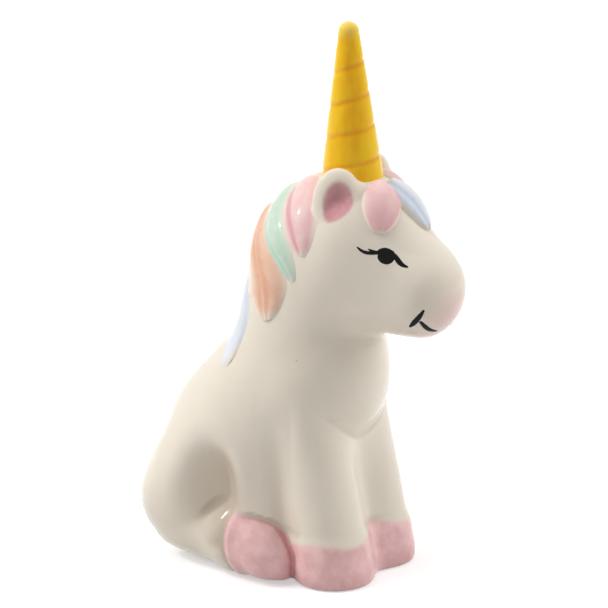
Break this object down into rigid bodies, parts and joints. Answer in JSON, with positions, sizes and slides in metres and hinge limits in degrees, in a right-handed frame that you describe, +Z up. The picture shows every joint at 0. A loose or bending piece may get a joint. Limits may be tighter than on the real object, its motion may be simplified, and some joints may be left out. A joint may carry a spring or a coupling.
{
  "type": "unicorn figurine",
  "caption": "Sitting unicorn ornament in glazed ceramic: hollow body and head, spiral horn, cupped ears, locks of hair and hooves luted on.",
  "frame": {"origin": "centre of the overall box at the level that the figure stands on", "axes": "+Z up through the horn, -Y the way the figure faces, -X its right side"},
  "size_m": [0.0424, 0.067, 0.11],
  "materials": {
    "white_glaze": "warm off-white gloss glaze over earthenware",
    "horn_yellow": "amber yellow underglaze, gloss",
    "hoof_pink": "soft pink underglaze brushed on, gloss",
    "lock_pink": "pastel pink underglaze, gloss",
    "lock_mint": "pastel mint underglaze, gloss",
    "lock_peach": "pastel peach underglaze, gloss",
    "lock_lilac": "pastel lilac-blue underglaze, gloss"
  },
  "bodies": {
    "root": {"body": "white_glaze", "head": "white_glaze", "horn": "horn_yellow", "ear_right": "white_glaze", "foreleg_right": "white_glaze", "haunch_right": "white_glaze", "hind_foot_right": "white_glaze", "fore_hoof_right": "hoof_pink", "hind_hoof_right": "hoof_pink", "mane_pink_right": "lock_pink", "mane_mint_right": "lock_mint", "mane_peach_right": "lock_peach", "mane_lilac_right": "lock_lilac", "ear_left": "white_glaze", "foreleg_left": "white_glaze", "haunch_left": "white_glaze", "hind_foot_left": "white_glaze", "fore_hoof_left": "hoof_pink", "hind_hoof_left": "hoof_pink", "mane_pink_left": "lock_pink", "mane_mint_left": "lock_mint", "mane_peach_left": "lock_peach", "mane_lilac_left": "lock_lilac", "forelock_right": "lock_pink", "forelock_middle": "lock_lilac", "forelock_left": "lock_pink", "tail_upper": "lock_lilac", "tail_lower": "lock_pink"}
  },
  "joints": []
}
